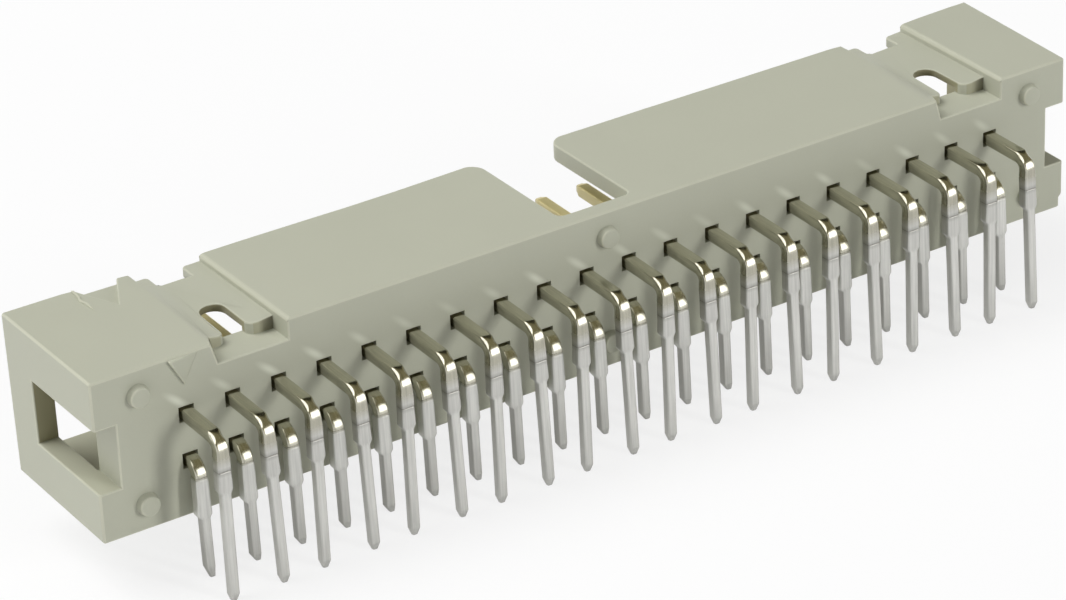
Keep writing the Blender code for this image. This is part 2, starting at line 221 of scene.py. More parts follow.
def makePlastic(look):
    material, tree, shader = newMaterial("pebble_plastic")
    place = addNode(tree, "ShaderNodeTexCoord", (-1500, 0))
    field = placeGroup(tree, grainField, (-1200, 0),
                       {"Grain Scale": look["grainScale"], "Cloud Scale": look["cloudScale"]})
    # mask of the painted highlight on the rounds
    edge = addNode(tree, "ShaderNodeAttribute", (-1500, 400), {"attribute_name": "edgeHighlight"})
    # mask of the painted shade inside
    inside = addNode(tree, "ShaderNodeAttribute", (-1500, 700), {"attribute_name": "insideShadeWall"})
    # mask of the deeper painted shade
    deep = addNode(tree, "ShaderNodeAttribute", (-1500, 1000), {"attribute_name": "deepShadeWall"})
    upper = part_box("contact_upper_01")
    glints = placeGroup(tree, backGlints, (-1200, -400), {
        "Pitch": look["glintPitch"],
        "Shift": (upper[0].x + upper[1].x) / 2 + look["glintSide"] - look["glintPitch"] / 2,
        "Height": upper[1].z + look["glintRise"],
        "Face": -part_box("housing")[0].y - look["faceMargin"]})
    glintShare = addNode(tree, "ShaderNodeMath", (-900, -400), {"operation": "MULTIPLY"})
    uneven = addNode(tree, "ShaderNodeMapRange", (-1100, -600), None, {
        "From Min": 0.38, "From Max": 0.6, "To Min": look["glintLeast"], "To Max": look["glintShare"]})
    edgeShare = addNode(tree, "ShaderNodeMath", (-1200, 400), {"operation": "MULTIPLY"},
                        {1: look["edgeShare"]})
    insideShadeShare = addNode(tree, "ShaderNodeMath", (-1200, 700), {"operation": "MULTIPLY"},
                          {1: look["insideShadeShare"]})
    # In turn: the painted highlight on the rounds, painted shade inside, the light patches, deeper painted
    # shade
    outer = placeGroup(tree, toneShift, (-900, 300),
                       {"Base": look["color"], "Second": look["edgeHighlightColor"], "Swing": look["swing"]})
    whole = placeGroup(tree, toneShift, (-600, 400), {"Second": look["insideShadeColor"], "Swing": 0.03})
    glinting = placeGroup(tree, toneShift, (-450, 600), {"Second": look["glintColor"], "Swing": 0.0})
    deepShaded = placeGroup(tree, toneShift, (-300, 400), {"Second": look["deepShadeColor"], "Swing": 0.0})
    rough = addNode(tree, "ShaderNodeMapRange", (-600, -100), None,
                    {"To Min": look["roughnessLow"], "To Max": look["roughnessHigh"]})
    bump = addNode(tree, "ShaderNodeBump", (-300, -300), None,
                   {"Strength": 1.0, "Distance": look["grainHeight"]})
    joinSockets(tree, [
        (place, "Object", field, "Position"), (edge, "Fac", edgeShare, 0),
        (inside, "Fac", insideShadeShare, 0), (edgeShare, "Value", outer, "Mask"),
        (field, "Cloud", outer, "Noise"), (outer, "Color", whole, "Base"),
        (insideShadeShare, "Value", whole, "Mask"), (field, "Grain", whole, "Noise"),
        (place, "Object", glints, "Position"), (glints, "Mask", glintShare, 0),
        (field, "Cloud", uneven, "Value"), (uneven, "Result", glintShare, 1),
        (whole, "Color", glinting, "Base"), (glintShare, "Value", glinting, "Mask"),
        (glinting, "Color", deepShaded, "Base"), (deep, "Fac", deepShaded, "Mask"),
        (deepShaded, "Color", shader, "Base Color"), (field, "Cloud", rough, "Value"),
        (rough, "Result", shader, "Roughness"), (field, "Grain", bump, "Height"),
        (bump, "Normal", shader, "Normal")])
    return material


# Plated wire: gold at the mating end, bright nickel round the bend, matte tin below the crease
platingLook = {
    "nickel": (0.56, 0.545, 0.45, 1),
    "tin": (0.68, 0.68, 0.65, 1),
    "gold": (0.86, 0.76, 0.39, 1),
    # dark tone of the painted shade on the wire
    "shadeTone": (0.10, 0.09, 0.07, 1),
    "nickelRoughness": 0.16,
    "tinRoughness": 0.42,
    "goldRoughness": 0.32,
    "goldMetal": 0.6,          # the rest of the gold is matte
    "grainRoughness": 0.12,
    "streakStretch": (1.0, 1.0, 0.035),
    "grainScale": 9000.0,
    "cloudScale": 700.0,
    "swing": 0.55,
    "grainHeight": 0.000004,
}


def makePlating(look):
    material, tree, shader = newMaterial("plated_wire")
    straight = addNode(tree, "ShaderNodeAttribute", (-1700, 0), {"attribute_name": "straightWire"})
    tinPart = addNode(tree, "ShaderNodeAttribute", (-1700, 300), {"attribute_name": "tinPart"})
    goldPart = addNode(tree, "ShaderNodeAttribute", (-1700, 500), {"attribute_name": "goldPart"})
    wireShadeMask = addNode(tree, "ShaderNodeAttribute", (-1700, 700), {"attribute_name": "wireShadeMask"})
    field = placeGroup(tree, grainField, (-1400, 0), {
        "Stretch": look["streakStretch"], "Grain Scale": look["grainScale"],
        "Cloud Scale": look["cloudScale"]})
    tinned = placeGroup(tree, toneShift, (-1100, 300),
                        {"Base": look["nickel"], "Second": look["tin"], "Swing": look["swing"]})
    gilded = placeGroup(tree, toneShift, (-850, 400), {"Second": look["gold"], "Swing": 0.08})
    # painted shade on the wire, from its mask
    wireShaded = placeGroup(tree, toneShift, (-600, 500), {"Second": look["shadeTone"], "Swing": 0.0})
    tinRough = addNode(tree, "ShaderNodeMapRange", (-850, 0), None,
                       {"To Min": look["nickelRoughness"], "To Max": look["tinRoughness"]})
    goldRough = addNode(tree, "ShaderNodeMix", (-600, 0), {"data_type": "FLOAT"}, {3: look["goldRoughness"]})
    metal = addNode(tree, "ShaderNodeMapRange", (-350, 300), None,
                    {"To Min": 1.0, "To Max": look["goldMetal"]})
    grainRough = addNode(tree, "ShaderNodeMath", (-350, 0), {"operation": "MULTIPLY_ADD"},
                         {1: look["grainRoughness"]})
    height = addNode(tree, "ShaderNodeMath", (-850, -300), {"operation": "MULTIPLY"})
    bump = addNode(tree, "ShaderNodeBump", (-350, -300), None,
                   {"Strength": 1.0, "Distance": look["grainHeight"]})
    joinSockets(tree, [
        (straight, "Vector", field, "Position"), (tinPart, "Fac", tinned, "Mask"),
        (field, "Grain", tinned, "Noise"), (tinned, "Color", gilded, "Base"),
        (goldPart, "Fac", gilded, "Mask"), (field, "Cloud", gilded, "Noise"),
        (gilded, "Color", wireShaded, "Base"), (wireShadeMask, "Fac", wireShaded, "Mask"),
        (wireShaded, "Color", shader, "Base Color"), (goldPart, "Fac", metal, "Value"),
        (metal, "Result", shader, "Metallic"), (tinPart, "Fac", tinRough, "Value"),
        (goldPart, "Fac", goldRough, "Factor"), (tinRough, "Result", goldRough, 2),
        (field, "Grain", grainRough, 0), (goldRough, 0, grainRough, 2),
        (grainRough, "Value", shader, "Roughness"), (field, "Grain", height, 0),
        (tinPart, "Fac", height, 1), (height, "Value", bump, "Height"),
        (bump, "Normal", shader, "Normal")])
    return material


plastic = makePlastic(plasticLook)
plating = makePlating(platingLook)
print("materials ready")

# Housing: the solid's own faces with a real round on every moulded edge
housingShape = {
    "wideRound": 0.20,         # on the upper edges of the groove walls
    "roundSteps": 3,
    "edgeShare": 0.42,         # of that round on the other outer edges
    "innerShare": 0.2,         # in the inner corners
    "mouthShare": 0.12,        # on the small hole mouths
    "sharpFrom": 38,           # degrees between two faces that count as an edge
    "cornerEase": (0.038, 0.01),   # a wide round's folded corner goes this far in and up
    "edgeHighlightLevel": 1.4,           # strength of the painted highlight on a level round; the part that looks up gets less
    "holeMargin": 0.6,         # half a hole's square and a little more
    "holeFrom": 4.0,           # the holes lie this far behind the mouth and farther
    "backWall": 2.27,
    "endWall": 0.3,            # inner walls lie this far inside the end faces,
    "mouthWall": 1.0,          # this far behind the mouth
    "topWall": 1.0,            # and this far below the top
    "grooveMiddles": (20.32, -22.86),
    "groove": 3.95,            # width, depth and length of the groove, as in the solid
    "grooveFloor": 0.385,
    "lip": 1.2,
    "ramp": 1.2,
    "rampSide": 0.4,
    "rampSideFloor": 0.48,
    "dip": 0.295,
    "blend": 0.28,             # slopes are averaged over this far to either side
    "pocket": 1.45,
    "pocketFloor": 1.14,
    "slot": 4.5,
    "slotHalf": 1.15,
    # The next four set how dark the deeper painted shade is
    "foldShade": 0.12,         # how dark an inner corner is,
    "holeShade": 0.12,         # a hole's wall,
    "pocketShade": 0.7,        # the pocket's shaded corner
    "slotShade": 0.35,         # and the slot's front end
    "pocketInsideShade": 0.55,        # painted inside shade on the pocket's front wall
    "markBox": (23.33, 24.93),     # the raised mark lies between these, and sinks towards -X
    # Along the mouth, the top wall hangs this much lower in the photo (X, drop).
    "sag": ((-29.2, -0.06), (-28.0, -0.06), (-26.0, -0.01), (-25.0, 0.04), (-24.7, 0.12), (-23.0, 0.16),
            (-22.0, 0.19), (-21.0, 0.21), (-20.6, 0.14), (-14.0, 0.125), (-8.0, 0.10), (-3.0, 0.11),
            (3.0, 0.136), (5.0, 0.168), (7.0, 0.20), (10.0, 0.205), (12.0, 0.18), (16.0, 0.15),
            (18.0, 0.15), (18.6, 0.20), (20.0, 0.15), (22.0, 0.17), (22.5, 0.02), (25.0, -0.02),
            (26.0, -0.09), (29.2, -0.11)),
    "endsOut": (0.12, 0.15),   # how far the upper corners of the mouth stand out at -X and +X
    "cutEvery": 1.0,
}


# The wall on the -X side of each groove has a wide upper round.
def hasWideRound(shape, middle, top):
    walls = [groove - shape["groove"] / 2 for groove in shape["grooveMiddles"]]
    return abs(middle.z / mm - top) < 0.02 and any(abs(middle.x / mm - wall) < 0.02 for wall in walls)


def edgeWeights(work, shape, top, backFace, mouth, holeCenters):
    layer = work.edges.layers.float.new("bevel_weight_edge")
    sharpFrom = math.radians(shape["sharpFrom"])
    margin = shape["holeMargin"] * mm
    for edge in work.edges:
        if len(edge.link_faces) != 2 or edge.calc_face_angle(0.0) < sharpFrom:
            continue
        middle = (edge.verts[0].co + edge.verts[1].co) / 2
        offsets = np.abs(holeCenters - (middle.x, middle.z)).max(axis=1)
        atHole = offsets.min() < margin
        if atHole and middle.y > mouth + shape["holeFrom"] * mm:
            onBack = abs(middle.y - backFace) < 1e-6
            edge[layer] = shape["mouthShare"] if onBack else 0.0
        elif edge.is_convex:
            edge[layer] = 1.0 if hasWideRound(shape, middle, top) else shape["edgeShare"]
        else:
            edge[layer] = shape["innerShare"]


def makeHousing(shape):
    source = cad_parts["housing"]
    low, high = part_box("housing")
    mouth = low.y
    backFace = -low.y
    tops = [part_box(name)[1].z for name in ("contact_upper_01", "contact_lower_01")]
    columns = [(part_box(name)[0].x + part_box(name)[1].x) / 2 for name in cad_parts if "lower" in name]
    holeCenters = np.array([(x, z - wireShape["wire"] * mm / 2) for x in columns for z in tops])
    work = bmesh.new()
    work.from_mesh(source.data)
    bmesh.ops.remove_doubles(work, verts=work.verts, dist=1e-7)
    bmesh.ops.dissolve_limit(work, angle_limit=math.radians(0.5), verts=work.verts, edges=work.edges)
    edgeWeights(work, shape, high.z / mm, backFace, mouth, holeCenters)
    mesh = bpy.data.meshes.new("housing_shell")
    work.to_mesh(mesh)
    work.free()
    shell = bpy.data.objects.new("housing_shell", mesh)
    bpy.context.scene.collection.objects.link(shell)
    mesh.materials.append(plastic)
    mesh.materials.append(plastic)
    rounds = shell.modifiers.new("mouldedRounds", "BEVEL")
    rounds.limit_method = "WEIGHT"
    rounds.width = shape["wideRound"] * mm
    rounds.segments = shape["roundSteps"]
    rounds.use_clamp_overlap = False
    rounds.loop_slide = False
    rounds.material = 1
    evaluated = shell.evaluated_get(bpy.context.evaluated_depsgraph_get())
    finished = bpy.data.meshes.new_from_object(evaluated)
    shell.modifiers.clear()
    shell.data = finished
    unfoldCorners(finished, shape, high.z / mm, backFace / mm)
    cutHousing(finished, shape, high, backFace)
    markHousing(finished, shape, high, mouth, backFace, holeCenters)
    finished.shade_smooth()
    finished.set_sharp_from_angle(angle=math.radians(35))
    shell.modifiers.new("flatFaces", "WEIGHTED_NORMAL").keep_sharp = True
    smoothed = bpy.data.meshes.new_from_object(shell.evaluated_get(bpy.context.evaluated_depsgraph_get()))
    shell.modifiers.clear()
    shell.data = smoothed
    easeGrooves(smoothed, shape, high, mouth, backFace)
    warpHousing(smoothed, shape, high, mouth, backFace)
    repairNormals(smoothed)
    return shell


# Where a wide round meets a narrow one, the bevel puts one corner past the narrow round. It goes
# back between the ends of the two rounds.
def unfoldCorners(mesh, shape, top, back):
    place = readVectors(mesh.vertices, "co") / mm
    narrow = shape["wideRound"] * shape["edgeShare"]
    for groove in shape["grooveMiddles"]:
        minus = groove - shape["groove"] / 2
        past = ((np.abs(place[:, 0] - minus) < 0.002) & (np.abs(place[:, 1]) > back - narrow + 0.02)
                & (place[:, 2] > top - shape["grooveFloor"] + 0.02))
        place[past, 1] = np.sign(place[past, 1]) * (back - narrow - shape["cornerEase"][0])
        place[past, 2] = top - shape["wideRound"] + shape["cornerEase"][1]
    mesh.vertices.foreach_set("co", (place * mm).ravel())
    mesh.update()


# The upper half is cut across every millimetre, so that the top wall can sag. One face value is
# the painted highlight on a round that stands out, on the pads and the mark only on their +X side.
# A second is the same for rounds in inner corners, which get painted shade.
def cutHousing(mesh, shape, high, backFace):
    work = bmesh.new()
    work.from_mesh(mesh)
    band = work.faces.layers.float.new("edgeHighlight")
    fold = work.faces.layers.float.new("innerRoundShade")
    for face in work.faces:
        if face.material_index == 1:
            turn = sum(edge.calc_face_angle_signed(0.0) * edge.calc_length() for edge in face.edges
                       if len(edge.link_faces) == 2)
            proud = face.calc_center_median().y > backFace + 0.06 * mm
            plain = shape["edgeHighlightLevel"] - max(0.0, face.normal.z)
            face[band if turn > 0 else fold] = max(0.0, 2.0 * face.normal.x) if proud else plain
        face.material_index = 0
    for x in np.arange(-28.0, 28.5, shape["cutEvery"]):
        upper = [face for face in work.faces if face.calc_center_median().z > 0.6 * high.z]
        edges = {edge for face in upper for edge in face.edges}
        verts = {vert for face in upper for vert in face.verts}
        bmesh.ops.bisect_plane(work, geom=list(verts) + list(edges) + upper, dist=1e-7,
                               plane_co=(x * mm, 0.0, 0.0), plane_no=(1.0, 0.0, 0.0))
    work.to_mesh(mesh)
    work.free()


def readVectors(items, label):
    values = np.zeros(len(items) * 3)
    items.foreach_get(label, values)
    return values.reshape(-1, 3)


def readBand(mesh, label):
    values = np.zeros(len(mesh.polygons), np.float32)
    mesh.attributes[label].data.foreach_get("value", values)
    return values


# The face and the place, in millimetres, of every face corner
def readCorners(mesh):
    totals = np.zeros(len(mesh.polygons), np.int32)
    mesh.polygons.foreach_get("loop_total", totals)
    cornerVert = np.zeros(len(mesh.loops), np.int32)
    mesh.loops.foreach_get("vertex_index", cornerVert)
    return np.repeat(np.arange(len(totals)), totals), readVectors(mesh.vertices, "co")[cornerVert] / mm


# The pocket's front wall, at y = back - pocket and between the two floors.
def pocketFront(shape, center, normal, middle, top, back):
    x, y, z = center.T
    return ((np.abs(x - middle) < shape["groove"] / 2) & (np.abs(y - (back - shape["pocket"])) < 0.2)
            & (z > top - shape["pocketFloor"]) & (z < top - shape["grooveFloor"]) & (normal[:, 1] > 0.8))


# The slot's upright walls
def slotWalls(shape, center, normal, middle, top, back):
    x, y, z = center.T
    return ((np.abs(x - middle) < shape["slotHalf"]) & (y > back - shape["slot"] - 0.05)
            & (y < back - shape["pocket"] - 0.45) & (z > top - 1.1) & (np.abs(normal[:, 2]) < 0.5))


# One face value paints shade, 1 on walls of the cavity, the windows and the slots, and less on
# what looks up in them. A second, per corner, paints deeper shade in the contact holes, the shaded
# corner of each pocket, the front end of each slot and the inner corners.
def markHousing(mesh, shape, high, mouth, backFace, holeCenters):
    center = readVectors(mesh.polygons, "center")
    normal = readVectors(mesh.polygons, "normal")
    x, y, z = (center / mm).T
    top = high.z / mm
    back = backFace / mm
    within = ((np.abs(x) < high.x / mm - shape["endWall"]) & (y > mouth / mm + shape["mouthWall"])
              & (y < back - 0.05))
    inside = np.where(within & (z < top - shape["topWall"]) & (z > 0.3), 1.0, 0.0)
    inside = np.where(normal[:, 2] > 0.5, 0.2 * inside, inside)
    inside = np.where((normal[:, 0] > 0.7) & (y > back - shape["backWall"] - 0.1), 0.0, inside)
    away = np.abs(center[:, None, [0, 2]] - holeCenters[None]).max(axis=2).min(axis=1)
    hole = (away < 0.5 * mm) & (y > back - 3.0) & (y < back - 0.03) & (np.abs(normal[:, 1]) < 0.6)
    deep = np.maximum(hole * shape["holeShade"], readBand(mesh, "innerRoundShade") * shape["foldShade"])
    owner, place = readCorners(mesh)
    cornerDeep = deep[owner]
    for middle in shape["grooveMiddles"]:
        slot = slotWalls(shape, center / mm, normal, middle, top, back)
        pocket = ((np.abs(x - middle) < shape["groove"] / 2 + 0.4) & (y > back - shape["pocket"] - 0.2)
                  & (z > top - shape["pocketFloor"] - 0.1))
        frontWall = pocketFront(shape, center / mm, normal, middle, top, back)
        inside[slot & (z < top - shape["grooveFloor"] - 0.1)] = 1.0
        inside[pocket] = 0.0
        inside[frontWall] = shape["pocketInsideShade"]
        shade = shape["pocketShade"] * (1.0 - smoothStep(place[:, 0], middle - 1.65, middle - 1.1))
        cornerDeep = np.where(frontWall[owner], np.maximum(cornerDeep, shade), cornerDeep)
        slotEnd = back - shape["slot"]
        shade = shape["slotShade"] * (1.0 - smoothStep(place[:, 1], slotEnd + 0.3, slotEnd + 2.2))
        cornerDeep = np.where(slot[owner], np.maximum(cornerDeep, shade), cornerDeep)
    for label, domain, values in (("insideShadeWall", "FACE", inside), ("deepShadeWall", "CORNER", cornerDeep)):
        layer = mesh.attributes.new(label, "FLOAT", domain)
        layer.data.foreach_set("value", values.astype(np.float32))


# Corner normals of the groove floors, from the slope of the lofted floor at each corner:
# z = (1 - t) * plain(x) + t * dipped(x), with t from 0 at the lip to 1 at the pocket's middle.
def easeGrooves(mesh, shape, high, mouth, backFace):
    normals = readVectors(mesh.corner_normals, "vector")
    center = readVectors(mesh.polygons, "center") / mm
    normal = readVectors(mesh.polygons, "normal")
    owner, place = readCorners(mesh)
    flat = (readBand(mesh, "edgeHighlight") < 0.5) & (readBand(mesh, "innerRoundShade") < 0.5)
    top = high.z / mm
    lipEnd = mouth / mm + shape["lip"]
    run = backFace / mm - shape["pocket"] / 2 - lipEnd
    for middle in shape["grooveMiddles"]:
        half = shape["groove"] / 2
        foot = middle + half - shape["ramp"]
        knee = middle + half - shape["rampSide"]
        floor = top - shape["grooveFloor"]
        kneePlain = top - shape["grooveFloor"] * shape["rampSide"] / shape["ramp"]
        stations = np.array([middle - half, foot, knee, middle + half])
        plain = np.array([floor, floor, kneePlain, top])
        dipped = np.array([floor, floor - shape["dip"], top - shape["rampSideFloor"], top])
        onFloor = ((center[:, 0] > stations[0]) & (center[:, 0] < stations[3]) & (normal[:, 2] > 0.7)
                   & (center[:, 1] > lipEnd) & (center[:, 1] < backFace / mm - shape["pocket"])
                   & (center[:, 2] > top - 0.75) & (center[:, 2] < top - 0.01) & flat)
        t = np.clip((place[:, 1] - lipEnd) / run, 0.0, 1.0)
        blend = shape["blend"]
        before = np.maximum(place[:, 0] - blend, stations[0])
        after = place[:, 0] + blend
        rise = ((1.0 - t) * (np.interp(after, stations, plain) - np.interp(before, stations, plain))
                + t * (np.interp(after, stations, dipped) - np.interp(before, stations, dipped)))
        drop = np.interp(place[:, 0], stations, dipped - plain) / run * smoothStep(t, 0.0, 0.4)
        slope = np.stack([-rise / (after - before), -drop, np.ones(len(t))], axis=-1)
        slope /= np.linalg.norm(slope, axis=1)[:, None]
        atEdge = ((np.abs(place[:, 0] - stations[3]) < 0.01) & (np.abs(place[:, 2] - top) < 0.01)
                  & (place[:, 1] > lipEnd) & (normal[owner, 2] > 0.7))
        eased = onFloor[owner] | atEdge
        normals[eased] = slope[eased]
    mesh.normals_split_custom_set(normals.tolist())


# On a round, a corner normal far from its own face's comes from a sliver beside it, and takes
# the face's.
def repairNormals(mesh):
    normals = readVectors(mesh.corner_normals, "vector")
    owner = readCorners(mesh)[0]
    facing = readVectors(mesh.polygons, "normal")[owner]
    turned = ((normals * facing).sum(axis=1) < 0.88) & (readBand(mesh, "edgeHighlight") > 0.3)[owner]
    normals[turned] = facing[turned]
    mesh.normals_split_custom_set(normals.tolist())


# The top wall hangs by the sag at the mouth and by nothing at the back face, and the ends' upper
# corners stand out. The raised mark sinks into the back face on its -X side.
def warpHousing(mesh, shape, high, mouth, backFace):
    place = readVectors(mesh.vertices, "co")
    x, y, z = (place / mm).T
    forward = np.clip((backFace - place[:, 1]) / (backFace - mouth), 0.0, 1.0)
    upward = smoothStep(z, 4.5, high.z / mm - 0.8)
    stations, drops = np.array(shape["sag"]).T
    dz = -np.interp(x, stations, drops) * forward * upward
    out = shape["endsOut"][1] * smoothStep(x, 25.0, 29.0) - shape["endsOut"][0] * smoothStep(-x, 25.0, 29.0)
    dx = out * forward * np.clip(z / (high.z / mm), 0.0, 1.0)
    back = backFace / mm
    low, far = shape["markBox"]
    marked = (y > back + 0.02) & (x > low) & (x < far) & (z > 6.0)
    foot = z[marked].min()
    rise = np.clip((z - foot) / (z[marked].max() - foot), 0.0, 1.0)
    width = (far - low) * rise + 0.15
    across = np.clip((x - (low + far - width) / 2) / width, 0.0, 1.0)
    sunk = np.where(marked, (y - back) * (1.0 - across), 0.0)
    place += np.stack([dx, -sunk, dz], axis=-1) * mm
    mesh.vertices.foreach_set("co", place.ravel())
    mesh.update()


# Contacts: a rounded square section carried along the wire's own path
wireShape = {                  # millimetres and degrees
    "wire": 0.64,
    "cornerRound": 0.10,
    "cornerSteps": 4,
    "tipSize": 0.44,
    "tipLength": 0.35,
    "bendOuter": 0.95,
    "bendRound": (0.27, 0.13),     # the outer corners' round in the first half of the bend, by row
    "bendSteps": 18,
    "lean": 2.2,
    "formedWidth": 0.72,
    "bulgeWidth": 0.77,        # widest, just above the shoulder
    "creaseDrop": (1.60, 0.66),    # from the row's height down to the crease, upper and lower row
    "creaseDepth": (0.022, 0.012),
    "creaseReach": 0.05,
    "tinDrop": (0.72, 0.55),   # where the tin starts
    "tinReach": (0.75, 0.22),
    "shoulderDrop": 2.58,
    "shoulderRun": 0.28,
    "tail": 0.5,
    "tailCorner": 0.09,
    "tailTip": 0.28,
    "tailTipLength": 0.36,
    "firstTipLength": 0.62,    # the first lower tail is cut off more obliquely
    "boardRow": 0.89,
    "pitch": 2.54,
    "splay": 0.13,
    "goldEnd": 2.0,            # the gold stops this far in front of the back face
    # The next seven set the painted shade on the wire
    "holeShade": (0.09, 0.40),     # darker near the hole, on the wire's top and on its +X side
    "creaseShade": (0.8, 0.45),    # in the crease, by row
    "aroundCrease": (0.48, 0.10),    # and round it
    "legShade": (0.26, 0.05),  # on the formed leg
    "tailShade": (0.15, 0.10),
    "tipShade": (0.05, 0.18),  # added towards the tip
    "tailSideShade": (0.15, 0.42),  # on the tail's +X side
}


# The axis runs level to the bend, round an arc, then down a leaning straight leg.
# Its stations are (along, y, z, turn), with the turn as the angle of the wire below level.
def wireAxis(shape, tipY, rowHeight, backFace, boardRow, tailEnd, crease, cut):
    lean = math.radians(shape["lean"])
    turn = math.pi / 2 - lean
    radius = shape["bendOuter"] - shape["wire"] / 2
    legAtBoard = backFace + boardRow - (shape["wire"] - shape["tail"]) / 2
    cornerY = legAtBoard - rowHeight * math.tan(lean)
    bendStart = cornerY - radius * math.tan(turn / 2)
    tip = shape["tipLength"]
    bar = np.concatenate([tipY + tip * np.array([0.0, 0.12, 0.5, 0.88, 1.0, 1.25]),
                          np.linspace(tipY + 2 * tip, bendStart - 0.15, 9)])
    angle = np.linspace(0.0, turn, shape["bendSteps"] + 1)
    bendY = bendStart + radius * np.sin(angle)
    bendZ = rowHeight - radius + radius * np.cos(angle)
    shoulder = rowHeight - shape["shoulderDrop"]
    tailStart = shoulder - shape["shoulderRun"]
    tipStart = tailEnd + cut
    reach = shape["creaseReach"]
    legTop = bendZ[-1] - 0.02
    legZ = np.concatenate([
        np.linspace(legTop, crease + 2.2 * reach, 7),
        crease + reach * np.array([1.6, 1.0, 0.5, 0.15, -0.15, -0.5, -1.0, -1.6]),
        np.linspace(crease - 0.25, shoulder + 0.12, 6),
        np.linspace(shoulder + 0.06, tailStart - 0.06, 9),
        np.linspace(tailStart - 0.3, tipStart + 0.3, 6),
        np.linspace(tipStart + 0.08, tailEnd + 0.03, 7),
        [tailEnd]])
    legY = legAtBoard - legZ * math.tan(lean)
    y = np.concatenate([bar, bendY, legY])
    z = np.concatenate([np.full(bar.size, rowHeight), bendZ, legZ])
    bent = np.concatenate([np.zeros(bar.size), angle, np.full(legZ.size, turn)])
    along = np.concatenate([[0.0], np.cumsum(np.hypot(np.diff(y), np.diff(z)))])
    return along, y, z, bent


# Width, thickness, corner rounds and the axis's shift towards the housing at every station
def wireSections(shape, y, z, bent, tipY, rowHeight, tailEnd, isLeg, crease, row, cut):
    wire = shape["wire"]
    matingTip = smoothStep(y, tipY, tipY + shape["tipLength"])
    shoulder = rowHeight - shape["shoulderDrop"]
    tailStart = shoulder - shape["shoulderRun"]
    formed = smoothStep(-z, -(rowHeight - 0.3), -(rowHeight - 1.2))
    bulge = smoothStep(-z, -(shoulder + 0.75), -(shoulder + 0.1))
    necked = smoothStep(-z, -shoulder, -tailStart)
    pointed = np.clip((tailEnd + cut - z) / cut, 0.0, 1.0)
    width = wire + (shape["formedWidth"] - wire) * formed
    width = width + (shape["bulgeWidth"] - shape["formedWidth"]) * bulge
    width = width + (shape["tail"] - width) * necked
    thick = wire + (shape["tail"] - wire) * necked
    mating = np.where(isLeg, 0.0, 1.0 - matingTip)
    width = width - (wire - shape["tipSize"]) * mating
    thick = thick - (wire - shape["tipSize"]) * mating
    taper = np.where(isLeg, pointed, 0.0) * (shape["tail"] - shape["tailTip"])
    width = width - taper
    thick = thick - taper
    press = np.exp(-((z - crease) / (shape["creaseReach"] * 0.6)) ** 2) * isLeg
    inner = shape["cornerRound"] + (shape["tailCorner"] - shape["cornerRound"]) * necked
    degrees = np.degrees(bent)
    swell = smoothStep(degrees, 2.0, 28.0) * (1.0 - smoothStep(degrees, 34.0, 58.0))
    outer = inner + (shape["bendRound"][row] - inner) * swell
    shift = (wire - shape["tail"]) / 2 * necked * isLeg
    sections = width, thick - 2 * shape["creaseDepth"][row] * press, inner, outer, shift
    return sections, press, taper


# Angles of the corner normals round the section: 0 is +X and 90 degrees is the bend's outer side.
def ringAngles(shape):
    steps = np.arange(shape["cornerSteps"] + 1) / shape["cornerSteps"]
    return (np.arange(4)[:, None] + steps[None, :]).ravel() * math.pi / 2


def wireMesh(name, shape, across, axis, sections, drift):
    along, y, z, bent = axis
    width, thick, inner, outer, shift = sections
    angle = ringAngles(shape)
    quarter = np.repeat(np.arange(4), shape["cornerSteps"] + 1) * math.pi / 2 + math.pi / 4
    signX = np.sign(np.cos(quarter))
    signOut = np.sign(np.sin(quarter))
    corner = np.where(signOut > 0, outer[:, None], inner[:, None])
    side = signX * (width[:, None] / 2 - corner) + corner * np.cos(angle)
    out = signOut * (thick[:, None] / 2 - corner) + corner * np.sin(angle)
    lift = out + shift[:, None]
    points = np.stack([across + drift[:, None] + side,
                       y[:, None] + lift * np.sin(bent)[:, None],
                       z[:, None] + lift * np.cos(bent)[:, None]], axis=-1)
    rows, ring = side.shape
    ends = points[[0, -1]].mean(axis=1)
    vertices = np.concatenate([points.reshape(-1, 3), ends]) * mm
    i, j = np.meshgrid(np.arange(rows - 1), np.arange(ring), indexing="ij")
    nextJ = (j + 1) % ring
    quads = np.stack([i * ring + j, (i + 1) * ring + j, (i + 1) * ring + nextJ, i * ring + nextJ],
                     axis=-1).reshape(-1, 4)
    first = np.arange(ring)
    following = (first + 1) % ring
    last = (rows - 1) * ring
    startCap = np.stack([np.full(ring, rows * ring), first, following], axis=-1)
    endCap = np.stack([np.full(ring, rows * ring + 1), last + following, last + first], axis=-1)
    mesh = bpy.data.meshes.new(name)
    mesh.from_pydata(vertices.tolist(), [], quads.tolist() + startCap.tolist() + endCap.tolist())
    straight = np.stack([side + across * 3.0, out, np.broadcast_to(along[:, None], side.shape)], axis=-1)
    straight = np.concatenate([straight.reshape(-1, 3), straight[[0, -1]].mean(axis=1)]) * mm
    mesh.attributes.new("straightWire", "FLOAT_VECTOR", "POINT").data.foreach_set(
        "vector", straight.astype(np.float32).ravel())
    mesh.update()
    return mesh


# values has one row for each section, and one column or one for each vertex round it.
def addPart(mesh, label, values, ring):
    whole = np.broadcast_to(values, (len(values), ring))
    perVertex = np.concatenate([whole.ravel(), whole[[0, -1]].mean(axis=1)]).astype(np.float32)
    mesh.attributes.new(label, "FLOAT", "POINT").data.foreach_set("value", perVertex)


